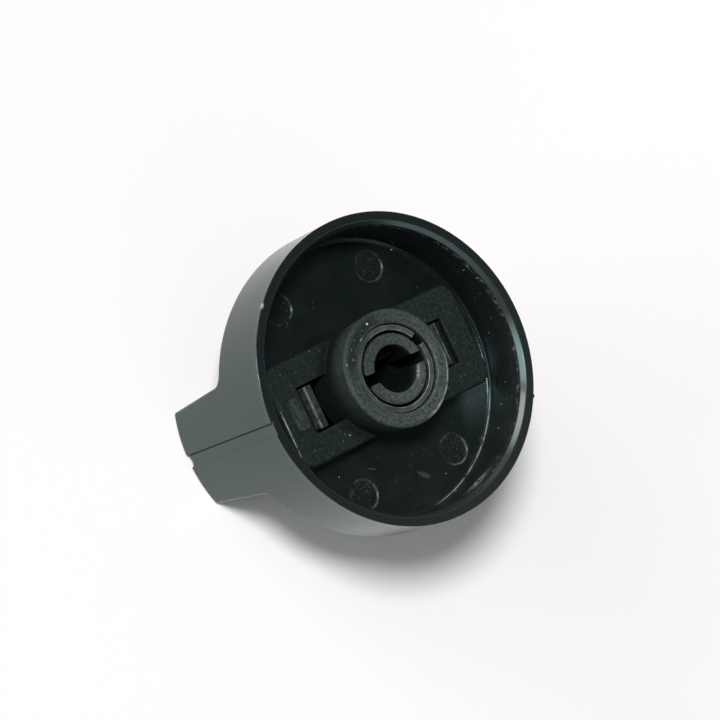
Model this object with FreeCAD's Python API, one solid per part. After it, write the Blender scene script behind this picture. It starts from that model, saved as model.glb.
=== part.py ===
"""Oven control knob, resting on its grip face with the open back up.

The shaft axis is Z. The grip bar lies along Y and its pointer end looks to -Y. Z = 0 is the grip face.
All sizes are in millimetres and degrees.
"""
import FreeCAD
import Part
import math
import os

Vector = FreeCAD.Vector

# Outside of the shell
RIM_RADIUS = 20.0
HEIGHT = 23.5
OUTSIDE_DRAFT = 1.4
SKIRT_DEPTH = 9.1           # rim to the front edge of the skirt
SHOULDER_SLOPE = 7.0        # the front of the skirt rises towards the bar
SHOULDER_FILLET = 1.5
BAR_WIDTH = 12.6            # at the grip face
BAR_DRAFT = 4.8
EDGE_ROUND = 0.4

# Inside of the shell
RIM_LAND = 1.1
RIM_BEVEL = 0.65
SKIRT_WALL = 1.6
CUP_DEPTH = 7.7
CUP_DRAFT = 1.0
CUP_CHAMFER = 0.4
GRIP_WALL = 2.0             # between the grip face and the hollow of the bar
HOLLOW_DRAFT = 1.0
HOLLOW_CORNER = 1.5

# Marks on the shell
INDEX_WIDTH = 1.7
INDEX_LENGTH = 14.0
POINTER_LINE_DEPTH = 0.2
SCORE_WIDTH = 0.2           # thin line along one side of the pointer line
SCORE_DEPTH = 0.3
EJECTOR_DIAMETER = 4.0
EJECTOR_DEPTH = 0.15
EJECTOR_X = 12.8
EJECTOR_Y = 7.5
GATE_MARK_RADIUS = 0.35
GATE_MARK_LENGTH = 0.8
GATE_MARK_PROUD = 0.15
GATE_MARK_AT = 57.0         # angle from +X

# Shaft that the knob fits, and the socket for it
SHAFT_DIAMETER = 6.0
SHAFT_FLAT = 4.6            # thickness of the shaft across its flat
SHAFT_CLEARANCE = 0.05
MOUTH_CLEARANCE = 0.1
SOCKET_ROUND_LENGTH = 2.0   # mouth to the start of the flat
SOCKET_LEAD_IN = 1.2
SOCKET_DEPTH = 12.0
SOCKET_DRAFT = 0.25
SOCKET_WALL = 1.25
SOCKET_GAP = 0.2            # socket tube to the walls of the hollow

# Split sleeve, spring clip and boss, from the inside out
SLEEVE_WALL = 1.45
SLEEVE_RECESS = 0.5         # below the top of the boss
SLEEVE_CHAMFER = 0.2
SLEEVE_SLOT = 1.4
SLOT_ROUND = 0.35           # corners of the sleeve's halves at the slots
CLIP_INNER_GAP = 0.38
CLIP_THICKNESS = 0.65
CLIP_OUTER_GAP = 0.16
CLIP_HEIGHT = 6.0
CLIP_OPENING = 17.0
CLIP_OPENING_AT = 113.0     # angle from +X
GROOVE_FLOOR = 1.2
BOSS_WALL = 1.85
BOSS_DRAFT = 1.5
BOSS_PROUD = 0.1            # above the rim
BOSS_CHAMFER = 0.4
FLANK_START = 0.6           # below the top of the boss

# Snap arms of the shell and the plate that they hold down
ARM_WIDTH = 5.6
ARM_THICKNESS = 1.0
ARM_STANDOFF = 2.2          # boss to the inner face of an arm
ARM_NOSE = 0.4
ARM_NOSE_HEIGHT = 1.0
ARM_PLAY = 0.15             # arm to the ledge under its nose, and nose to ledge
NOSE_ROOM = 0.75
WINDOW_CLEARANCE = 0.35
PLATE_WIDTH = 13.6
PLATE_HEIGHT = 3.1
PLATE_END = 3.55            # window to the end of the plate
PLATE_LEDGE = 1.6           # how far the plate reaches over the end of the hollow
PLATE_TOP_WALL = 1.6
PLATE_SIDE_WALL = 1.5
PLATE_CORNER = 1.8
PLATE_EDGE_CHAMFER = 0.3
PAD_WIDTH = 4.2
PAD_LENGTH = 1.75
PAD_HEIGHT = 0.2
PAD_CORNER = 0.6
PAD_GAP = 0.3

BEYOND = 5.0                # how far a cutting tool runs past the surface it cuts
TOUCH = 1e-4                # points closer than this are one point

# Levels and radii that several pieces share
CUP_FLOOR = HEIGHT - CUP_DEPTH
PLATE_TOP = CUP_FLOOR + PLATE_HEIGHT
BOSS_TOP = HEIGHT + BOSS_PROUD
SLEEVE_TOP = BOSS_TOP - SLEEVE_RECESS
GROOVE_BOTTOM = CUP_FLOOR + GROOVE_FLOOR
SOCKET_RADIUS = SHAFT_DIAMETER / 2 + SHAFT_CLEARANCE
SOCKET_TUBE_RADIUS = SOCKET_RADIUS + SOCKET_WALL
MOUTH_RADIUS = SHAFT_DIAMETER / 2 + MOUTH_CLEARANCE
SLEEVE_RADIUS = MOUTH_RADIUS + SLEEVE_WALL
CLIP_INNER_RADIUS = SLEEVE_RADIUS + CLIP_INNER_GAP
CLIP_OUTER_RADIUS = CLIP_INNER_RADIUS + CLIP_THICKNESS
GROOVE_RADIUS = CLIP_OUTER_RADIUS + CLIP_OUTER_GAP
BOSS_RADIUS = GROOVE_RADIUS + BOSS_WALL
ARM_INNER = BOSS_RADIUS + ARM_STANDOFF
ARM_OUTER = ARM_INNER + ARM_THICKNESS
WINDOW_END = ARM_OUTER + ARM_NOSE + NOSE_ROOM
PLATE_LENGTH = 2 * (WINDOW_END + PLATE_END)
HOLLOW_WIDTH = 2 * (SOCKET_TUBE_RADIUS + SOCKET_GAP)
HOLLOW_LENGTH = PLATE_LENGTH - 2 * PLATE_LEDGE


def slope(degrees):
    return math.tan(math.radians(degrees))


def outside_radius(z):
    """Radius of the drafted outside at height z."""
    return RIM_RADIUS - (HEIGHT - z) * slope(OUTSIDE_DRAFT)


def corner_arc(before, corner, after, radius):
    """Arc of the given radius that rounds the corner between two straight lines."""
    to_before = (before - corner).normalize()
    to_after = (after - corner).normalize()
    half_angle = to_before.getAngle(to_after) / 2
    reach = radius / math.tan(half_angle)
    bisector = (to_before + to_after).normalize()
    middle = corner + bisector * (radius / math.sin(half_angle) - radius)
    return Part.Arc(corner + to_before * reach, middle, corner + to_after * reach).toShape()


def outline(points, rounds):
    """Closed wire through the points; rounds gives the radius at each rounded corner's index."""
    count = len(points)
    corners = []
    for index, point in enumerate(points):
        if index in rounds:
            arc = corner_arc(points[index - 1], point, points[(index + 1) % count], rounds[index])
            corners.append((arc.Vertexes[0].Point, arc, arc.Vertexes[1].Point))
        else:
            corners.append((point, None, point))
    edges = []
    for index, (_, arc, leave) in enumerate(corners):
        if arc:
            edges.append(arc)
        arrive = corners[(index + 1) % count][0]
        if leave.distanceToPoint(arrive) > TOUCH:
            edges.append(Part.LineSegment(leave, arrive).toShape())
    return Part.Wire(Part.__sortEdges__(edges))


def chamfered(points, sizes):
    """Points of an outline with some corners cut off; sizes gives, by index, how far along both sides."""
    result = []
    for index, (x, z) in enumerate(points):
        if index not in sizes:
            result.append((x, z))
            continue
        for next_x, next_z in (points[index - 1], points[(index + 1) % len(points)]):
            share = sizes[index] / math.hypot(next_x - x, next_z - z)
            result.append((x + (next_x - x) * share, z + (next_z - z) * share))
    return result


def turned(points, start=0, sweep=360):
    """Solid of revolution about Z from points (radius, height), starting at an angle from +X."""
    face = Part.Face(outline([Vector(r, 0, z) for r, z in points], {}))
    face.rotate(Vector(0, 0, 0), Vector(0, 0, 1), start)
    return face.revolve(Vector(0, 0, 0), Vector(0, 0, 1), sweep)


def along_y(points, rounds, length):
    """Prism along Y, centred on Y = 0, from points (x, z)."""
    wire = outline([Vector(x, -length / 2, z) for x, z in points], rounds)
    return Part.Face(wire).extrude(Vector(0, length, 0))


def rounded_rectangle(width, length, corner, z):
    x, y = width / 2, length / 2
    points = [Vector(-x, -y, z), Vector(x, -y, z), Vector(x, y, z), Vector(-x, y, z)]
    return outline(points, {index: corner for index in range(4)})


def block(width, length, corner, bottom, top):
    """Upright block with rounded corners, centred on the axis."""
    return Part.Face(rounded_rectangle(width, length, corner, bottom)).extrude(Vector(0, 0, top - bottom))


def centred_box(width, length, bottom, top):
    return Part.makeBox(width, length, top - bottom, Vector(-width / 2, -length / 2, bottom))


def cylinder(radius, bottom, top, x=0.0, y=0.0):
    return Part.makeCylinder(radius, top - bottom, Vector(x, y, bottom))


def with_mirror(shape, normal):
    return [shape, shape.mirror(Vector(0, 0, 0), normal)]


def shoulder_scoop():
    """What is cut away beside the bar: bar side, fillet and the sloping front of the skirt."""
    half = BAR_WIDTH / 2
    far = RIM_RADIUS + BEYOND
    front_edge = HEIGHT - SKIRT_DEPTH
    far_z = front_edge + BEYOND * slope(SHOULDER_SLOPE)
    front_at_bar = front_edge - (RIM_RADIUS - half) * slope(SHOULDER_SLOPE)
    meet_z = front_at_bar / (1 - slope(BAR_DRAFT) * slope(SHOULDER_SLOPE))
    meet_x = half + meet_z * slope(BAR_DRAFT)
    low_x = half - BEYOND * slope(BAR_DRAFT)
    points = [(low_x, -BEYOND), (far, -BEYOND), (far, far_z), (meet_x, meet_z)]
    return along_y(points, {3: SHOULDER_FILLET}, 2 * far)


def is_outer_edge(edge):
    """True for an edge on the grip face or on the drafted outside, below the rim."""
    middle = edge.valueAt((edge.FirstParameter + edge.LastParameter) / 2)
    on_face = abs(middle.z) < TOUCH
    on_outside = abs(math.hypot(middle.x, middle.y) - outside_radius(middle.z)) < TOUCH
    return edge.BoundBox.ZMax < HEIGHT - TOUCH and (on_face or on_outside)


def outside_form():
    """Round drafted body with the two shoulders cut away and every edge but the rim rounded."""
    body = turned([(0, 0), (outside_radius(0), 0), (RIM_RADIUS, HEIGHT), (0, HEIGHT)])
    body = body.cut(with_mirror(shoulder_scoop(), Vector(1, 0, 0)))
    return body.makeFillet(EDGE_ROUND, [edge for edge in body.Edges if is_outer_edge(edge)])


def cup_hollow():
    """Inside of the skirt, with the bevel inside the rim."""
    wall_top = RIM_RADIUS - SKIRT_WALL
    bevel_foot = HEIGHT - RIM_BEVEL
    floor_radius = wall_top - (bevel_foot - CUP_FLOOR) * slope(CUP_DRAFT)
    land = RIM_RADIUS - RIM_LAND
    points = [(0, CUP_FLOOR), (floor_radius, CUP_FLOOR), (wall_top, bevel_foot), (land, HEIGHT),
              (land, HEIGHT + BEYOND), (0, HEIGHT + BEYOND)]
    return turned(chamfered(points, {1: CUP_CHAMFER}))


def bar_hollow():
    """Hollow of the grip bar, open to the cup and drafted towards it."""
    spread = 2 * (CUP_FLOOR - GRIP_WALL) * slope(HOLLOW_DRAFT)
    top = rounded_rectangle(HOLLOW_WIDTH + spread, HOLLOW_LENGTH, HOLLOW_CORNER, CUP_FLOOR)
    bottom = rounded_rectangle(HOLLOW_WIDTH, HOLLOW_LENGTH - spread, HOLLOW_CORNER, GRIP_WALL)
    return Part.makeLoft([bottom, top], True, True)


def index_groove():
    """Half-round groove along the grip face, from the pointer end to a ball-shaped end."""
    radius = INDEX_WIDTH / 2
    stop = INDEX_LENGTH - outside_radius(0) - radius
    run = Part.makeCylinder(radius, RIM_RADIUS + stop, Vector(0, -RIM_RADIUS, 0), Vector(0, 1, 0))
    return run.fuse(Part.makeSphere(radius, Vector(0, stop, 0)))


def channel(width, depth):
    """Flat channel down the pointer end, from the -X side of the index groove."""
    low, high = -BEYOND, HEIGHT + BEYOND
    reach = RIM_RADIUS + BEYOND
    strip = Part.makeBox(width, reach, high - low, Vector(-INDEX_WIDTH / 2, -reach, low))
    core = turned([(0, low), (outside_radius(low) - depth, low),
                   (outside_radius(high) - depth, high), (0, high)])
    return strip.cut(core)


def pointer_line():
    """Shallow channel as wide as the index groove, with a deeper line scored along one side."""
    line = channel(INDEX_WIDTH, POINTER_LINE_DEPTH)
    score = channel(SCORE_WIDTH, POINTER_LINE_DEPTH + SCORE_DEPTH)
    return [line, score]


def ejector_marks():
    """Shallow round dents that the ejector pins leave in the floor of the cup."""
    return [cylinder(EJECTOR_DIAMETER / 2, CUP_FLOOR - EJECTOR_DEPTH, CUP_FLOOR + BEYOND, x, y)
            for x in (-EJECTOR_X, EJECTOR_X) for y in (-EJECTOR_Y, EJECTOR_Y)]


def gate_mark():
    """Stub that is left on the rim where the plastic ran in."""
    away = RIM_RADIUS + GATE_MARK_PROUD - GATE_MARK_RADIUS
    angle = math.radians(GATE_MARK_AT)
    return cylinder(GATE_MARK_RADIUS, HEIGHT - GATE_MARK_LENGTH, HEIGHT, away * math.cos(angle),
                    away * math.sin(angle))


def snap_arm():
    """Upright arm with a sloping nose that holds down the edge of the plate's window."""
    nose_bottom = PLATE_TOP - ARM_NOSE_HEIGHT
    foot = GRIP_WALL / 2
    points = [(-ARM_INNER, foot), (-ARM_OUTER, foot), (-ARM_OUTER, nose_bottom),
              (-ARM_OUTER - ARM_NOSE, nose_bottom), (-ARM_OUTER, PLATE_TOP), (-ARM_INNER, PLATE_TOP)]
    wire = outline([Vector(-ARM_WIDTH / 2, y, z) for y, z in points], {})
    return Part.Face(wire).extrude(Vector(ARM_WIDTH, 0, 0))


def knob_shell():
    """One moulding: skirt, cup floor, hollow bar and snap arms."""
    shell = outside_form().fuse(gate_mark())
    shell = shell.cut([cup_hollow(), bar_hollow(), index_groove()] + pointer_line() + ejector_marks())
    return shell.fuse(with_mirror(snap_arm(), Vector(0, 1, 0))).removeSplitter()


def plate():
    """Plate with cored underside, two windows with a ledge for the snap noses, and one raised pad."""
    body = block(PLATE_WIDTH, PLATE_LENGTH, PLATE_CORNER, CUP_FLOOR, PLATE_TOP)
    top_edges = [edge for edge in body.Edges if edge.BoundBox.ZMin > PLATE_TOP - TOUCH]
    body = body.makeChamfer(PLATE_EDGE_CHAMFER, top_edges)
    core = centred_box(PLATE_WIDTH - 2 * PLATE_SIDE_WALL, PLATE_LENGTH - 2 * PLATE_SIDE_WALL,
                       CUP_FLOOR - BEYOND, PLATE_TOP - PLATE_TOP_WALL)
    width = ARM_WIDTH + 2 * WINDOW_CLEARANCE
    hole = centred_box(width, 2 * (ARM_OUTER + ARM_PLAY), CUP_FLOOR - BEYOND, PLATE_TOP + BEYOND)
    ledge_top = PLATE_TOP - ARM_NOSE_HEIGHT - ARM_PLAY
    nose_recess = centred_box(width, 2 * WINDOW_END, ledge_top, PLATE_TOP + BEYOND)
    pad = block(PAD_WIDTH, PAD_LENGTH, PAD_CORNER, PLATE_TOP - PAD_HEIGHT, PLATE_TOP + PAD_HEIGHT)
    pad.translate(Vector(0, -WINDOW_END - PAD_GAP - PAD_LENGTH / 2, 0))
    room_for_boss = cylinder(BOSS_RADIUS, CUP_FLOOR - BEYOND, PLATE_TOP + BEYOND)
    return body.cut([core, hole, nose_recess, room_for_boss]).fuse(pad)


def boss():
    """Boss, ring groove, sleeve and socket tube turned in one, with the boss's flanks run into the plate."""
    tube_bottom = SLEEVE_TOP - SOCKET_DEPTH - SOCKET_WALL
    base_radius = BOSS_RADIUS + (BOSS_TOP - CUP_FLOOR) * slope(BOSS_DRAFT)
    points = [(0, tube_bottom), (SOCKET_TUBE_RADIUS, tube_bottom), (SOCKET_TUBE_RADIUS, CUP_FLOOR),
              (base_radius, CUP_FLOOR), (BOSS_RADIUS, BOSS_TOP), (GROOVE_RADIUS, BOSS_TOP),
              (GROOVE_RADIUS, GROOVE_BOTTOM), (SLEEVE_RADIUS, GROOVE_BOTTOM), (SLEEVE_RADIUS, SLEEVE_TOP),
              (0, SLEEVE_TOP)]
    body = turned(chamfered(points, {4: BOSS_CHAMFER, 5: SLEEVE_CHAMFER, 8: SLEEVE_CHAMFER}))
    side = PLATE_WIDTH / 2
    far = base_radius + BEYOND
    flank_top = BOSS_TOP - FLANK_START
    flank = [(side, CUP_FLOOR - BEYOND), (far, CUP_FLOOR - BEYOND), (far, flank_top),
             (BOSS_RADIUS, flank_top), (side, PLATE_TOP)]
    return body.cut(with_mirror(along_y(flank, {}, 2 * far), Vector(1, 0, 0)))


def shaft_socket():
    """Round mouth that runs into a drafted D-shaped bore by a sloping lead-in."""
    bottom = SLEEVE_TOP - SOCKET_DEPTH
    flat = SHAFT_FLAT - SHAFT_DIAMETER / 2 + SHAFT_CLEARANCE
    flat_top = SLEEVE_TOP - SOCKET_ROUND_LENGTH
    far = SOCKET_RADIUS + BEYOND
    key = [(-far, bottom), (-flat, bottom), (-flat, flat_top - SOCKET_LEAD_IN), (-SOCKET_RADIUS, flat_top),
           (-far, flat_top)]
    bottom_radius = SOCKET_RADIUS - (flat_top - bottom) * slope(SOCKET_DRAFT)
    bore = turned([(0, bottom), (bottom_radius, bottom), (SOCKET_RADIUS, flat_top), (0, flat_top)])
    mouth = cylinder(MOUTH_RADIUS, flat_top, SLEEVE_TOP + BEYOND)
    return bore.cut(along_y(key, {}, 2 * far)).fuse(mouth)


def is_slot_corner(edge):
    """True for an upright edge where a slot meets the outside of the sleeve or the mouth of the socket."""
    ends = [vertex.Point for vertex in edge.Vertexes]
    upright = len(ends) == 2 and abs(ends[0].x - ends[1].x) + abs(ends[0].y - ends[1].y) < TOUCH
    if not upright or abs(abs(ends[0].x) - SLEEVE_SLOT / 2) > TOUCH:
        return False
    radius = math.hypot(ends[0].x, ends[0].y)
    return min(abs(radius - SLEEVE_RADIUS), abs(radius - MOUTH_RADIUS)) < TOUCH


def shaft_adapter():
    """One moulding: plate, boss, split sleeve and socket."""
    slots = centred_box(SLEEVE_SLOT, 2 * SLEEVE_RADIUS, GROOVE_BOTTOM, SLEEVE_TOP + BEYOND)
    body = plate().fuse(boss()).removeSplitter().cut([shaft_socket(), slots])
    return body.makeFillet(SLOT_ROUND, [edge for edge in body.Edges if is_slot_corner(edge)])


def spring_clip():
    """Open ring of flat spring strip that stands on the floor of the ring groove."""
    top = GROOVE_BOTTOM + CLIP_HEIGHT
    section = [(CLIP_INNER_RADIUS, GROOVE_BOTTOM), (CLIP_OUTER_RADIUS, GROOVE_BOTTOM),
               (CLIP_OUTER_RADIUS, top), (CLIP_INNER_RADIUS, top)]
    return turned(section, CLIP_OPENING_AT + CLIP_OPENING / 2, 360 - CLIP_OPENING)


os.makedirs("parts", exist_ok=True)
for make in (knob_shell, shaft_adapter, spring_clip):
    solid = make()
    solid.exportStep("parts/" + make.__name__ + ".step")
    print(make.__name__, "valid", solid.isValid(), "solids", len(solid.Solids), "volume", solid.Volume)
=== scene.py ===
import bpy
import math
from mathutils import Matrix, Vector

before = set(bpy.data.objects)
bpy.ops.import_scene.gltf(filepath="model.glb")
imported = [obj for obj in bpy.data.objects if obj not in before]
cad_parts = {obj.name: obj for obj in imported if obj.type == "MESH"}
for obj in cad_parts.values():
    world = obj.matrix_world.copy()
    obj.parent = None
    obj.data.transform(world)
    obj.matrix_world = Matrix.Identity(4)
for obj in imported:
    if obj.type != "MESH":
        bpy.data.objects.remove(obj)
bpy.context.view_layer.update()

# Knob shell: the round skirt, its hollow cup and the grip bar with the two snap arms.
# One compression moulding in black thermoset, glossy from the polished steel of the mould.
# Years on the oven left dust in the cup, scuffs on its floor and baked dirt under the rim.
MM = 0.001
SHELL_BLACK = "#081010"
SHELL_IOR = 1.6
SHELL_TINT = "#d6fefe"
SHELL_GLOSS = 0.2
RIM_GLOSS = 0.13
DUSTY_GLOSS = 0.75
PALE_DUST_AND_HIGHLIGHT = "#a1aaa6"
DIRT_BROWN = "#a29b89"
DIRT_CREAM = "#b9b5a9"
WORN_AND_LIT_PLASTIC = "#636c6a"
CUP_FLOOR = 15.8
CUP_WALL = 18.3
WALL_SLOPE = 0.2
RIM_DEPTH = 0.8
FLOOR_EDGE = 18.08
EJECTOR_X = 12.8
EJECTOR_Y = 7.5
EJECTOR_RADIUS = 2.0
EJECTOR_ROOM = 0.3
SOFT_EDGE = 0.22
SPECK_GAP = 1.9
SPECK_SIZE = 0.34
POWDER_GAP = 0.55
POWDER_SIZE = 0.2
SCUFF_ANGLE = 52
SCUFF_LENGTH = 3.0
SCUFF_WIDTH = 0.25
CRUST_GAP = 0.8
CRUST_SIZE = 0.3
CRUMB_GAP = 0.5
CRUMB_SIZE = 0.34
CRUMB_BAND = (1.3, 0.7)
RIPPLE_SIZE = 0.5
RIPPLE_DEPTH = 0.012
EDGE_HIGHLIGHT_SIDE = (0.82, 0.57, 0.0)
WALL_DIRT_SIDE = (0.45, 0.89, 0.0)
RIM_DIRT_SIDE = (-0.3, 0.95, 0.0)
CRUMB_SIDE = (0.99, 0.14, 0.0)
LIT_DUSTY_SIDE = (0.9, 0.44, 0.0)
ARM_INNER = 9.8
ARM_OUTER = 11.2
ARM_NOSE_START = 10.79
ARM_HALF_WIDTH = 2.8
ARM_FOOT = 17.6
CHANNEL_HALF_WIDTH = 1.2
CHANNEL_REACH = (17.0, 30.0)
# Marks that stand alone: x, y, height, angle, length and width.
FLOOR_MARKS = [(14.0, 1.85, CUP_FLOOR, 47, 2.8, 1.0), (14.2, -1.0, CUP_FLOOR, 0, 0.35, 0.3),
               (-13.4, -6.3, CUP_FLOOR, 20, 1.2, 0.2), (-10.7, -7.2, CUP_FLOOR, -35, 1.5, 0.2),
               (10.2, -4.9, CUP_FLOOR, 60, 1.6, 0.25), (13.4, 12.0, CUP_FLOOR, -48, 2.2, 1.1)]
RIM_CHIP = (-14.1, -14.1, 23.4, 45, 0.5, 1.0)
WALL_SMEAR = (17.6, 5.3, 20.75, 107, 6.0, 2.2)


def linear(colour):
    """Linear RGBA of an sRGB hex colour."""
    parts = [int(colour[place:place + 2], 16) / 255 for place in (1, 3, 5)]
    return [part / 12.92 if part <= 0.04045 else ((part + 0.055) / 1.055) ** 2.4 for part in parts] + [1.0]


def add(tree, kind, inputs=None, output=0, **settings):
    """Adds a node and returns one output; inputs gives a socket its value or the output that feeds it."""
    made = tree.nodes.new("ShaderNode" + kind)
    for name, value in settings.items():
        setattr(made, name, value)
    for key, value in (inputs or {}).items():
        if isinstance(value, bpy.types.NodeSocket):
            tree.links.new(value, made.inputs[key])
        else:
            made.inputs[key].default_value = value
    return made.outputs[output] if made.outputs else made


def new_material(name):
    """An empty node material, its tree and the place on the piece in millimetres."""
    material = bpy.data.materials.new(name)
    material.use_nodes = True
    tree = material.node_tree
    tree.nodes.clear()
    place = add(tree, "TexCoord", output="Object")
    return material, tree, add(tree, "VectorMath", {0: place, "Scale": 1 / MM}, operation="SCALE")


def top_of(node):
    """Height of a CAD node's highest point in millimetres."""
    return max(corner[2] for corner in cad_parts[node].bound_box) / MM


def from_axis(tree, place):
    """Distance from the upright axis through the origin, and the direction away from it."""
    flat = add(tree, "VectorMath", {0: place, 1: (1, 1, 0)}, operation="MULTIPLY")
    radius = add(tree, "VectorMath", {0: flat}, "Value", operation="LENGTH")
    return radius, add(tree, "VectorMath", {0: flat}, operation="NORMALIZE")


def overlap(tree, *masks):
    """Where all the masks meet; a plain number thins the result."""
    result = masks[0]
    for mask in masks[1:]:
        result = add(tree, "Math", {0: result, 1: mask}, operation="MULTIPLY")
    return result


def strongest(tree, *weighted):
    """The strongest of several masks, each given with its weight."""
    result = 0.0
    for mask, weight in weighted:
        result = add(tree, "Math", {0: overlap(tree, mask, weight), 1: result}, operation="MAXIMUM")
    return result


def between(tree, value, low, high, soft):
    """One where the value lies between low and high, with edges as wide as soft."""
    rise = add(tree, "MapRange", {0: value, 1: low - soft, 2: low})
    fall = add(tree, "MapRange", {0: value, 1: high, 2: high + soft, 3: 1.0, 4: 0.0})
    return overlap(tree, rise, fall)


def towards(tree, outward, side, start, end):
    """Grows from nothing to one as the direction outward turns to a side."""
    turned = add(tree, "VectorMath", {0: outward, 1: side}, "Value", operation="DOT_PRODUCT")
    return add(tree, "MapRange", {0: turned, 1: start, 2: end})


def wander(tree, place, size, reach):
    """The place pushed about by up to reach, in swirls of a size, so that what is drawn there wavers."""
    push = add(tree, "TexNoise", {"Vector": place, "Scale": 1 / size, "Detail": 2.0}, "Color")
    centred = add(tree, "VectorMath", {0: push, 1: (0.5, 0.5, 0.5)}, operation="SUBTRACT")
    spread = (2 * reach, 2 * reach, 2 * reach)
    return add(tree, "VectorMath", {0: centred, 1: spread, 2: place}, operation="MULTIPLY_ADD")


def grains(tree, place, spacing, share, size):
    """Scattered grains: a share of the cells, spacing apart, holds one that is up to size across."""
    near = add(tree, "TexVoronoi", {"Vector": place, "Scale": 1 / spacing})
    chance = add(tree, "SeparateColor", {0: near.node.outputs["Color"]})
    reach = add(tree, "MapRange", {0: chance, 1: 1 - share, 2: 1.0, 3: 0.0, 4: size / 2 / spacing})
    return add(tree, "Math", {0: reach, 1: near}, operation="GREATER_THAN")


def scratches(tree, place, angle, length, width, start):
    """Scratches that lie at an angle; a higher start leaves fewer of them."""
    lay = add(tree, "Mapping", {"Vector": place, "Rotation": (0, 0, math.radians(angle)),
                                "Scale": (length, width, length)}, vector_type="TEXTURE")
    tone = add(tree, "TexNoise", {"Vector": lay, "Scale": 1.0, "Detail": 1.0})
    return add(tree, "MapRange", {0: tone, 1: start, 2: start + 0.08})


def blotches(tree, place, size, start, end, swirl=0.0):
    """Cloudy patches about size across, that grow from nothing at start to full at end."""
    tone = add(tree, "TexNoise", {"Vector": place, "Scale": 1 / size, "Detail": 4.0, "Distortion": swirl})
    return add(tree, "MapRange", {0: tone, 1: start, 2: end})


def lone_mark(tree, place, x, y, height, angle, length, width):
    """A soft oval mark: full in its middle and gone at its edge."""
    inside = add(tree, "Mapping", {"Vector": place, "Location": (x, y, height),
                                   "Rotation": (0, 0, math.radians(angle)),
                                   "Scale": (length / 2, width / 2, width / 2)}, vector_type="TEXTURE")
    reach = add(tree, "VectorMath", {0: inside}, "Value", operation="LENGTH")
    return add(tree, "MapRange", {0: reach, 1: 0.35, 2: 1.0, 3: 1.0, 4: 0.0})


def edge_finish(tree, place, round_off, patch_size):
    """Normals that round the edges off, and a mask of the edges worn in patches."""
    soft = add(tree, "Bevel", {"Radius": round_off * MM}, samples=6)
    flat = add(tree, "NewGeometry", output="Normal")
    turned = add(tree, "VectorMath", {0: soft, 1: flat}, "Value", operation="DOT_PRODUCT")
    on_edge = add(tree, "MapRange", {0: turned, 1: 0.985, 2: 0.88})
    return soft, overlap(tree, on_edge, blotches(tree, place, patch_size, 0.35, 0.65))


def coats(tree, base, *layers):
    """A base colour with thin coats laid over it, each given as its mask and its colour."""
    colour = linear(base)
    for mask, coat in layers:
        colour = add(tree, "Mix", {0: mask, 6: colour, 7: linear(coat)}, 2, data_type="RGBA")
    return colour


def dress(node, material):
    """Puts the material on a CAD node in place of its plain one."""
    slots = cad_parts[node].data.materials
    slots.clear()
    slots.append(material)


RIM_TOP = top_of("knob_shell")
shell_plastic, tree, place = new_material("moulded_black_thermoset")
radius, outward = from_axis(tree, place)
height = add(tree, "SeparateXYZ", {0: place}, "Z")
folded = add(tree, "VectorMath", {0: place}, operation="ABSOLUTE")
across, along = [add(tree, "SeparateXYZ", {0: folded}, axis) for axis in ("X", "Y")]
wavering = wander(tree, place, 1.5, 0.25)
in_cup = overlap(tree, between(tree, height, CUP_FLOOR - EJECTOR_ROOM, RIM_TOP - RIM_DEPTH, 0.1),
                 between(tree, radius, 0, CUP_WALL + WALL_SLOPE, 0.1))
on_floor = overlap(tree, in_cup, between(tree, height, CUP_FLOOR - EJECTOR_ROOM, CUP_FLOOR + 0.1, 0.2))
on_wall = overlap(tree, in_cup, between(tree, radius, CUP_WALL - WALL_SLOPE, CUP_WALL + WALL_SLOPE, 0.05))

# Thin broken rings of dust where the ejector pins pressed, and fine swirls inside them.
from_pin = add(tree, "VectorMath", {0: folded, 1: (EJECTOR_X, EJECTOR_Y, 0)}, operation="SUBTRACT")
pin_distance, _ = from_axis(tree, wander(tree, from_pin, 1.0, 0.12))
# Dust rings, swirls, scuffs and film are drawn heavier towards one side of the cup: a painted light on the
# side where more light falls.
lit_dusty_side = towards(tree, outward, LIT_DUSTY_SIDE, -0.3, 0.9)
pin_dust = overlap(tree, add(tree, "MapRange", {0: lit_dusty_side, 3: 0.5, 4: 1.0}), on_floor)
pin_ring = overlap(tree, between(tree, pin_distance, EJECTOR_RADIUS - 0.1, EJECTOR_RADIUS + 0.06, 0.1),
                   blotches(tree, place, 0.9, 0.4, 0.66), pin_dust)
pin_swirls = overlap(tree, between(tree, pin_distance, 0, EJECTOR_RADIUS, 0.1),
                     blotches(tree, place, 0.7, 0.5, 0.72, 2.0), pin_dust)

# Loose dust, a few wiped scuffs and marks; the scuffs lie only towards the side painted as lit. The grains
# are drawn coarser than dust, to show at all.
specks = overlap(tree, grains(tree, place, SPECK_GAP, 0.28, SPECK_SIZE), in_cup)
powder = overlap(tree, grains(tree, place, POWDER_GAP, 0.4, POWDER_SIZE),
                 blotches(tree, place, 6.0, 0.48, 0.7), in_cup)
scuffs = overlap(tree, scratches(tree, wavering, SCUFF_ANGLE, SCUFF_LENGTH, SCUFF_WIDTH, 0.72), lit_dusty_side,
                 on_floor)
marks = overlap(tree, strongest(tree, *[(lone_mark(tree, wavering, *mark), 1.0) for mark in FLOOR_MARKS]),
                blotches(tree, wavering, 0.6, 0.35, 0.65, 1.5))
# The film is painted heavier towards the lit side, a painted light over the dust.
cloudy = add(tree, "MapRange", {0: blotches(tree, place, 5.0, 0.35, 0.75, 0.8), 3: 0.3, 4: 1.0})
film = overlap(tree, cloudy, add(tree, "MapRange", {0: lit_dusty_side, 3: 0.55, 4: 1.0}), in_cup)
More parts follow.
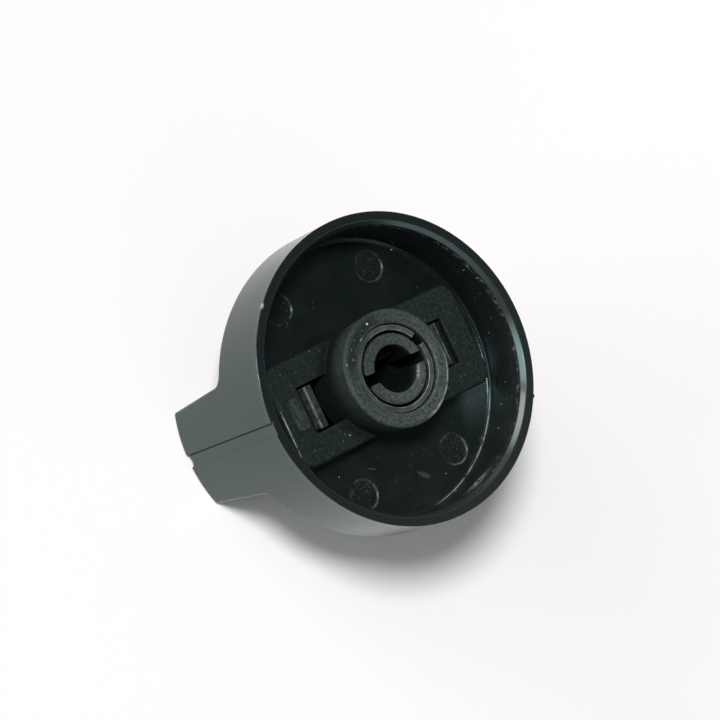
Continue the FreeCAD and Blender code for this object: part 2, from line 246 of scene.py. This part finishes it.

# A painted highlight as a broken pale line along the floor's edge on one side, and baked brown dirt on the
# wall above it.
floor_edge_highlight = overlap(tree, towards(tree, outward, EDGE_HIGHLIGHT_SIDE, 0.85, 0.92),
                    between(tree, radius, FLOOR_EDGE - 0.03, FLOOR_EDGE + 0.03, 0.05),
                    between(tree, height, CUP_FLOOR, CUP_FLOOR + 0.5, 0.2),
                    blotches(tree, place, 1.6, 0.3, 0.5))
upright = add(tree, "VectorMath", {0: place, 1: (1.0, 1.0, 0.5)}, operation="MULTIPLY")
dull_wall = overlap(tree, towards(tree, outward, WALL_DIRT_SIDE, 0.3, 0.8), on_wall)
wall_dirt = overlap(tree, dull_wall,
                    strongest(tree, (grains(tree, upright, CRUST_GAP, 0.4, CRUST_SIZE), 1.0),
                              (blotches(tree, upright, CRUST_GAP, 0.66, 0.8), 0.7)))
rim_side = strongest(tree, (towards(tree, outward, RIM_DIRT_SIDE, 0.2, 0.6), 1.0),
                     (towards(tree, outward, CRUMB_SIDE, 0.9, 0.97), 1.0))
rim_dirt = overlap(tree, rim_side, on_wall,
                   between(tree, height, RIM_TOP - CRUMB_BAND[0], RIM_TOP - CRUMB_BAND[1], 0.25),
                   strongest(tree, (grains(tree, wavering, CRUMB_GAP, 0.5, CRUMB_SIZE), 1.0),
                             (blotches(tree, wavering, 0.8, 0.5, 0.7), 0.5)))
wall_smear = overlap(tree, lone_mark(tree, wavering, *WALL_SMEAR), on_wall,
                     blotches(tree, wavering, 0.5, 0.4, 0.65, 1.0))

# Snap arms painted lighter in blotches, a painted light on them, with a painted highlight on the noses'
# edges, and edges rubbed everywhere but on the pointer line.
on_arm = overlap(tree, between(tree, across, 0, ARM_HALF_WIDTH, 0.05),
                 between(tree, along, ARM_INNER - 0.1, ARM_OUTER + 0.1, 0.05),
                 between(tree, height, ARM_FOOT, RIM_TOP, 0.3))
arm_painted_light = overlap(tree, on_arm, blotches(tree, place, 0.8, 0.25, 0.75))
# A painted highlight along the edge of each arm's nose.
nose_highlight = overlap(tree, on_arm, between(tree, along, ARM_NOSE_START - 0.1, ARM_NOSE_START + 0.07, 0.05),
                    blotches(tree, place, 1.2, 0.35, 0.55))
soft_edge, rubbed_edge = edge_finish(tree, place, SOFT_EDGE, 1.5)
on_channel = overlap(tree, between(tree, across, 0, CHANNEL_HALF_WIDTH, 0.1),
                     between(tree, along, *CHANNEL_REACH, 0.2))
off_channel = add(tree, "Math", {0: 1.0, 1: on_channel}, operation="SUBTRACT")
edge_wear = overlap(tree, rubbed_edge, off_channel)
rim_chip = lone_mark(tree, wavering, *RIM_CHIP)

on_rim = between(tree, height, RIM_TOP - RIM_DEPTH, RIM_TOP + 0.1, 0.1)
# A thin pale film on the rim, heavier towards the lit side: dust with painted light.
rim_film = overlap(tree, on_rim, add(tree, "MapRange", {0: lit_dusty_side, 3: 0.5, 4: 1.0}))
# Pale coat: dust, scuffs and marks, with painted highlights on the floor's edge and the arm noses.
pale = strongest(tree, (specks, 0.7), (powder, 0.3), (scuffs, 0.12), (pin_ring, 0.34), (pin_swirls, 0.16),
                 (marks, 0.25), (film, 0.035), (floor_edge_highlight, 0.75), (rim_chip, 0.8), (rim_film, 0.045),
                 (nose_highlight, 0.5))
worn_and_lit = strongest(tree, (arm_painted_light, 0.45), (edge_wear, 0.22))
colour = coats(tree, SHELL_BLACK, (pale, PALE_DUST_AND_HIGHLIGHT), (overlap(tree, wall_dirt, 0.5), DIRT_BROWN),
               (strongest(tree, (rim_dirt, 0.4), (wall_smear, 0.7)), DIRT_CREAM), (worn_and_lit, WORN_AND_LIT_PLASTIC))
gloss = add(tree, "MapRange", {0: on_rim, 3: SHELL_GLOSS, 4: RIM_GLOSS})
uneven = blotches(tree, place, 4.0, 0.4, 0.8)
dulled = strongest(tree, (pale, 1.0), (worn_and_lit, 1.0), (wall_dirt, 1.0), (rim_dirt, 0.8),
                   (wall_smear, 0.8), (dull_wall, 0.4), (uneven, 0.1))
roughness = add(tree, "MapRange", {0: dulled, 3: gloss, 4: DUSTY_GLOSS})
ripple = add(tree, "TexNoise", {"Vector": place, "Scale": 1 / RIPPLE_SIZE, "Detail": 2.0})
relief = add(tree, "Math", {0: pale, 1: 2.0, 2: ripple}, operation="MULTIPLY_ADD")
normal = add(tree, "Bump", {"Strength": 0.25, "Distance": RIPPLE_DEPTH * MM, "Height": relief,
                            "Normal": soft_edge})
surface = add(tree, "BsdfPrincipled", {"Base Color": colour, "Roughness": roughness, "IOR": SHELL_IOR,
                                       "Specular Tint": linear(SHELL_TINT), "Normal": normal})
add(tree, "OutputMaterial", {"Surface": surface})
dress("knob_shell", shell_plastic)

# Shaft adapter: the plate, boss and split sleeve that snap into the bar.
# Moulded in black glass-filled nylon, which comes out matte, grainy and flecked by its fibres.
# Held down by the shell's two snap arms, and rubbed pale where the oven's panel touched it.
NYLON_DARK = "#131918"
NYLON_BLACK = "#27302d"
NYLON_WORN_AND_LIT = "#555e5a"
NYLON_PALE = "#9da6a1"
NYLON_HIGHLIGHT_AND_FLECK = "#f5fcf9"
NYLON_TINT = "#d6fefe"
NYLON_SHINE = 0.24
NYLON_MATTE = 0.7
NYLON_SOFT_EDGE = 0.25
GRAIN_SIZE = 0.3
GRAIN_DEPTH = 0.06
MOTTLE_SIZE = 0.4
FINE_FLECKS = (0.6, 0.35, 0.26)
COARSE_FLECKS = (1.6, 0.25, 0.4)
RING_MARK_GAP = 0.18
SHADE_BLACK = "#020303"
BOSS_RADIUS = 7.6
BOSS_RING = 5.7
FLANK_FOOT = 2.0
UNWORN_WIDTH = 1.4
SLEEVE_TOP = 23.1
PLATE_TOP = 18.9
PAD_TOP = 19.1
PLATE_WINDOW_REACH = (8.0, 12.2)
PLATE_WINDOW_HALF_WIDTH = 3.3
WORN_SIDE = (0.7, 0.71, 0.0)
UNWORN_AND_LIT_SIDE = (-0.79, -0.61, 0.0)
HIGHLIGHT_EDGE_SIDE = (0.68, 0.73, 0.0)
PLATE_EDGE_LINE = (-15.32, -15.26)
PLATE_EDGE_STRETCH = (-0.9, 4.5)
BOSS_TOP = top_of("shaft_adapter")
STRAY_FLECK = (-6.55, -1.43, BOSS_TOP, 0, 0.34, 0.34)
PALE_CHIPS = [(-3.24, -6.71, BOSS_TOP - 0.1, 25, 1.0, 0.3), (-4.5, -5.2, BOSS_TOP, -50, 0.7, 0.25),
              (-3.3, -5.5, BOSS_TOP, 30, 0.5, 0.25), (-5.1, -3.2, BOSS_TOP, -60, 0.8, 0.25),
              (1.6, 2.85, SLEEVE_TOP, -30, 2.6, 0.5), (5.1, -7.6, PLATE_TOP, 40, 0.5, 0.25),
              (-0.2, -9.4, PLATE_TOP, 80, 0.9, 0.2), (-2.1, -8.4, PLATE_TOP, 65, 0.8, 0.2)]

adapter_nylon, tree, place = new_material("glass_filled_nylon")
radius, outward = from_axis(tree, place)
ragged_radius, _ = from_axis(tree, wander(tree, place, 0.9, 0.35))
height = add(tree, "SeparateXYZ", {0: place}, "Z")
folded = add(tree, "VectorMath", {0: place}, operation="ABSOLUTE")
across, along = [add(tree, "SeparateXYZ", {0: folded}, axis) for axis in ("X", "Y")]
side_x, side_y = [add(tree, "SeparateXYZ", {0: place}, axis) for axis in ("X", "Y")]

# Mottled skin with pale fibre ends, which are drawn coarser than real ones.
mottle = blotches(tree, place, MOTTLE_SIZE, 0.32, 0.7)
grain = add(tree, "TexNoise", {"Vector": place, "Scale": 1 / GRAIN_SIZE, "Detail": 3.0})
flecks = strongest(tree, (grains(tree, place, *FINE_FLECKS), 0.7),
                   (grains(tree, place, *COARSE_FLECKS), 1.0))

# Faces that rubbed on the panel: turned marks round the boss and the sleeve, scratches along the pads; and
# one flank of the boss painted lighter, a painted light on its lit side.
boss_face = overlap(tree, between(tree, height, BOSS_TOP - 0.25, BOSS_TOP, 0.15),
                    between(tree, radius, BOSS_RING, BOSS_RADIUS + 0.1, 0.1))
unworn = overlap(tree, between(tree, ragged_radius, BOSS_RADIUS - UNWORN_WIDTH, BOSS_RADIUS + 0.2, 0.2),
                 towards(tree, outward, UNWORN_AND_LIT_SIDE, 0.7, 0.88))
still_worn = add(tree, "MapRange", {0: unworn, 3: 1.0, 4: 0.0})
sleeve_face = overlap(tree, between(tree, height, SLEEVE_TOP - 0.15, SLEEVE_TOP, 0.1),
                      between(tree, radius, 0, BOSS_RING - 0.5, 0.1))
pad_face = overlap(tree, between(tree, height, PLATE_TOP + 0.1, PAD_TOP, 0.05),
                   between(tree, radius, BOSS_RADIUS + 1.4, 20.0, 0.1))
ring_step = add(tree, "CombineXYZ", {"Z": overlap(tree, radius, 1 / RING_MARK_GAP)})
ring_place = add(tree, "VectorMath", {0: outward, 1: ring_step}, operation="ADD")
turned = add(tree, "TexNoise", {"Vector": ring_place, "Scale": 1.0, "Detail": 2.0})
turned_marks = add(tree, "MapRange", {0: turned, 1: 0.42, 2: 0.68})
uneven = strongest(tree, (turned_marks, 0.7), (blotches(tree, place, 0.35, 0.4, 0.64), 1.0))
more_there = add(tree, "MapRange", {0: towards(tree, outward, WORN_SIDE, -1.0, 1.0), 3: 0.55, 4: 1.0})
rubbed = overlap(tree, add(tree, "MapRange", {0: uneven, 3: 0.2, 4: 1.0}), more_there)
pad_marks = strongest(tree, (scratches(tree, place, 8, 2.0, 0.16, 0.5), 0.8),
                      (blotches(tree, place, 0.7, 0.35, 0.75), 0.6))
lit_boss_flank = overlap(tree, between(tree, radius, BOSS_RADIUS - 0.2, BOSS_RADIUS + 0.5, 0.1),
                     between(tree, height, PLATE_TOP + FLANK_FOOT, BOSS_TOP, 1.0),
                     towards(tree, outward, UNWORN_AND_LIT_SIDE, 0.3, 0.9), blotches(tree, place, 1.2, 0.2, 0.8))
worn_and_lit_faces = strongest(tree, (overlap(tree, boss_face, still_worn, rubbed), 0.8),
                      (overlap(tree, sleeve_face, rubbed), 1.0), (overlap(tree, pad_face, pad_marks), 0.6),
                      (lit_boss_flank, 0.22))

# Painted shade darkens the groove, the socket, the windows and the foot of the boss.
in_socket = overlap(tree, between(tree, radius, 0, BOSS_RING + 0.15, 0.1),
                    between(tree, height, 0, SLEEVE_TOP - 1.2, 1.0))
in_window = overlap(tree, between(tree, across, 0, PLATE_WINDOW_HALF_WIDTH, 0.1),
                    between(tree, along, *PLATE_WINDOW_REACH, 0.1),
                    between(tree, height, 0, PLATE_TOP - 0.3, 0.25))
boss_foot = overlap(tree, between(tree, radius, BOSS_RADIUS, BOSS_RADIUS + 0.8, 1.2),
                    between(tree, height, 0, PLATE_TOP + 0.6, 2.5))
painted_shade = strongest(tree, (in_socket, 0.98), (in_window, 0.6), (boss_foot, 0.6))

# A painted highlight along one stretch of the plate's end edge and along the boss's outer top edge on one
# side, a few pale chips and one stray fleck of dust on the boss.
soft_edge, rubbed_edge = edge_finish(tree, place, NYLON_SOFT_EDGE, 1.3)
plate_edge_highlight = overlap(tree, between(tree, side_y, *PLATE_EDGE_LINE, 0.03),
                   between(tree, side_x, *PLATE_EDGE_STRETCH, 0.5),
                   between(tree, height, PLATE_TOP - 0.4, PLATE_TOP + 0.1, 0.05),
                   blotches(tree, place, 1.4, 0.35, 0.6))
chips = overlap(tree, strongest(tree, *[(lone_mark(tree, place, *chip), 1.0) for chip in PALE_CHIPS]),
                blotches(tree, place, 0.4, 0.35, 0.6))
# A painted highlight along the boss's outer top edge on one side.
boss_edge_highlight = overlap(tree, between(tree, radius, BOSS_RADIUS - 0.42, BOSS_RADIUS - 0.1, 0.08),
                      between(tree, height, BOSS_TOP - 0.4, BOSS_TOP, 0.1),
                      towards(tree, outward, HIGHLIGHT_EDGE_SIDE, 0.75, 0.92),
                      blotches(tree, place, 0.9, 0.3, 0.6))
stray_fleck = lone_mark(tree, place, *STRAY_FLECK)

colour = coats(tree, NYLON_DARK, (mottle, NYLON_BLACK), (worn_and_lit_faces, NYLON_WORN_AND_LIT),
               (overlap(tree, flecks, 0.25), NYLON_PALE), (overlap(tree, rubbed_edge, 0.4), NYLON_WORN_AND_LIT),
               (painted_shade, SHADE_BLACK), (overlap(tree, chips, 0.8), NYLON_PALE),
               (strongest(tree, (stray_fleck, 0.9), (plate_edge_highlight, 0.5), (boss_edge_highlight, 0.5)), NYLON_HIGHLIGHT_AND_FLECK))
smoothed = strongest(tree, (worn_and_lit_faces, 0.4), (unworn, 0.2), (plate_edge_highlight, 1.0))
matte = add(tree, "MapRange", {0: painted_shade, 3: NYLON_MATTE, 4: 1.0})
roughness = add(tree, "MapRange", {0: smoothed, 3: matte, 4: 0.3})
relief = add(tree, "Math", {0: flecks, 1: 0.5, 2: grain}, operation="MULTIPLY_ADD")
normal = add(tree, "Bump", {"Strength": 0.5, "Distance": GRAIN_DEPTH * MM, "Height": relief,
                            "Normal": soft_edge})
surface = add(tree, "BsdfPrincipled", {"Base Color": colour, "Roughness": roughness, "Normal": normal,
                                       "Specular IOR Level": NYLON_SHINE,
                                       "Specular Tint": linear(NYLON_TINT)})
add(tree, "OutputMaterial", {"Surface": surface})
dress("shaft_adapter", adapter_nylon)

# Spring clip: an open ring of flat spring strip in the groove round the sleeve.
# Rolled from phosphated spring steel, dull grey, with bright metal where the edges rubbed, painted
# brighter still as a highlight along them.
# It grips the sleeve's two halves onto the shaft and is held by nothing but its own spring.
CLIP_DARK = "#323938"
CLIP_GREY = "#525a56"
CLIP_BARE_AND_GLINT = "#dfe6e1"
CLIP_TINT = "#d6fefe"
CLIP_SOFT_EDGE = 0.14
CLIP_DULL = 0.55
CLIP_RUBBED = 0.4
CLIP_BARE = 0.9
CLIP_TOP = top_of("spring_clip")

clip_steel, tree, place = new_material("phosphated_spring_steel")
height = add(tree, "SeparateXYZ", {0: place}, "Z")
# Painted shade: the strip is painted near black deep down in the groove.
deep_down = between(tree, height, 0, CLIP_TOP - CLIP_BARE, 0.5)
strip_lay = add(tree, "VectorMath", {0: place, 1: (0.6, 0.6, 4.0)}, operation="MULTIPLY")
rolling = blotches(tree, strip_lay, 1.0, 0.35, 0.65)
soft_edge, rubbed_edge = edge_finish(tree, place, CLIP_SOFT_EDGE, 1.5)
colour = coats(tree, CLIP_DARK, (rolling, CLIP_GREY), (rubbed_edge, CLIP_BARE_AND_GLINT),
               (overlap(tree, deep_down, 0.9), SHADE_BLACK))
roughness = add(tree, "MapRange", {0: rubbed_edge, 3: CLIP_DULL, 4: CLIP_RUBBED})
metallic = add(tree, "MapRange", {0: rubbed_edge, 3: 0.1, 4: 0.6})
surface = add(tree, "BsdfPrincipled", {"Base Color": colour, "Roughness": roughness, "Metallic": metallic,
                                       "Specular Tint": linear(CLIP_TINT), "Normal": soft_edge})
add(tree, "OutputMaterial", {"Surface": surface})
dress("spring_clip", clip_steel)

# Studio: a white table that the knob stands on, one large soft lamp and a pale room.
# The room has a low window with a cool and a warm pane, which the rim mirrors, and a bright far wall.
FLOOR_SIZE = 3.0
FLOOR_WHITE = "#fcfcfc"
bpy.ops.object.select_all(action="DESELECT")
bpy.ops.mesh.primitive_plane_add(size=FLOOR_SIZE)
floor = bpy.context.object
floor.name = "table"
table_white, tree, place = new_material("white_table")
surface = add(tree, "BsdfDiffuse", {"Color": linear(FLOOR_WHITE)})
add(tree, "OutputMaterial", {"Surface": surface})
floor.data.materials.append(table_white)

KEY_FROM = Vector((-0.62, -0.785, 0.0))
KEY_ELEVATION = math.radians(61)
KEY_STRENGTH = 2.5
KEY_SPREAD = math.radians(14)
key_direction = KEY_FROM.normalized() * math.cos(KEY_ELEVATION) + Vector((0, 0, math.sin(KEY_ELEVATION)))
bpy.ops.object.light_add(type="SUN", rotation=key_direction.to_track_quat("Z", "Y").to_euler())
key = bpy.context.object
key.name = "key_light"
key.data.energy = KEY_STRENGTH
key.data.angle = KEY_SPREAD

ROOM_WHITE = "#ffffff"
ROOM_BRIGHT = 0.6
ROOM_DIM = 0.075
ROOM_FADE = (0.25, 0.58)
WINDOW_SIDE = (-0.64, -0.77, 0.0)
WINDOW_FADE = (0.72, 0.88)
WINDOW_RISE = (0.08, 0.36)
WINDOW_SOFT = 0.06
WINDOW_BAR_SIDE = (-0.719, 0.695, 0.0)
WINDOW_BAR_EDGE = (0.03, 0.06)
PANE_EDGE = 0.02
WINDOW_BRIGHT = 7.6
COOL_PANE = 0.68
WINDOW_WARM = "#ffe2dc"
FAR_WALL_SIDE = (1.0, -0.1, 0.0)
FAR_WALL_FADE = (0.4, 0.9)
FAR_WALL_RISE = (-0.1, 0.36)
FAR_WALL_SOFT = 0.12
FAR_WALL_BRIGHT = 0.675
world = bpy.data.worlds.new("pale_room")
bpy.context.scene.world = world
world.use_nodes = True
tree = world.node_tree
tree.nodes.clear()
direction = add(tree, "TexCoord", output="Generated")
rise = add(tree, "SeparateXYZ", {0: direction}, "Z")
fade = add(tree, "MapRange", {0: rise, 1: ROOM_FADE[0], 2: ROOM_FADE[1], 3: ROOM_BRIGHT, 4: ROOM_DIM},
           interpolation_type="SMOOTHSTEP")
past_bar = add(tree, "VectorMath", {0: direction, 1: WINDOW_BAR_SIDE}, "Value", operation="DOT_PRODUCT")
from_bar = add(tree, "Math", {0: past_bar}, operation="ABSOLUTE")
warm_pane = add(tree, "MapRange", {0: past_bar, 1: -PANE_EDGE, 2: PANE_EDGE})
window = overlap(tree, towards(tree, direction, WINDOW_SIDE, *WINDOW_FADE),
                 between(tree, rise, *WINDOW_RISE, WINDOW_SOFT),
                 add(tree, "MapRange", {0: from_bar, 1: WINDOW_BAR_EDGE[0], 2: WINDOW_BAR_EDGE[1]}),
                 add(tree, "MapRange", {0: warm_pane, 3: COOL_PANE, 4: 1.0}))
far_wall = overlap(tree, towards(tree, direction, FAR_WALL_SIDE, *FAR_WALL_FADE),
                   between(tree, rise, *FAR_WALL_RISE, FAR_WALL_SOFT))
room = add(tree, "Math", {0: far_wall, 1: FAR_WALL_BRIGHT, 2: fade}, operation="MULTIPLY_ADD")
strength = add(tree, "Math", {0: window, 1: WINDOW_BRIGHT, 2: room}, operation="MULTIPLY_ADD")
light_colour = coats(tree, ROOM_WHITE, (overlap(tree, window, warm_pane), WINDOW_WARM))
background = add(tree, "Background", {"Color": light_colour, "Strength": strength})
add(tree, "OutputWorld", {"Surface": background})

# Camera: the photograph's view, from above the pointer end and turned on its side.
VIEW_AZIMUTH = math.radians(-3.63)
VIEW_ELEVATION = math.radians(57.45)
VIEW_ROLL = math.radians(68.06)
VIEW_DISTANCE = 522.3 * MM
VIEW_AIM = Vector((-1.97, 10.43, 0.0)) * MM
LENS = 200.0
SENSOR = 36.0
NEAREST = 10 * MM
turn = (Matrix.Rotation(VIEW_AZIMUTH, 4, "Z") @ Matrix.Rotation(math.pi / 2 - VIEW_ELEVATION, 4, "X")
        @ Matrix.Rotation(VIEW_ROLL, 4, "Z"))
bpy.ops.object.camera_add()
camera = bpy.context.object
camera.matrix_world = Matrix.Translation(VIEW_AIM) @ turn @ Matrix.Translation((0, 0, VIEW_DISTANCE))
camera.data.lens = LENS
camera.data.sensor_width = SENSOR
camera.data.clip_start = NEAREST
bpy.context.scene.camera = camera
bpy.context.scene.view_settings.view_transform = "Standard"
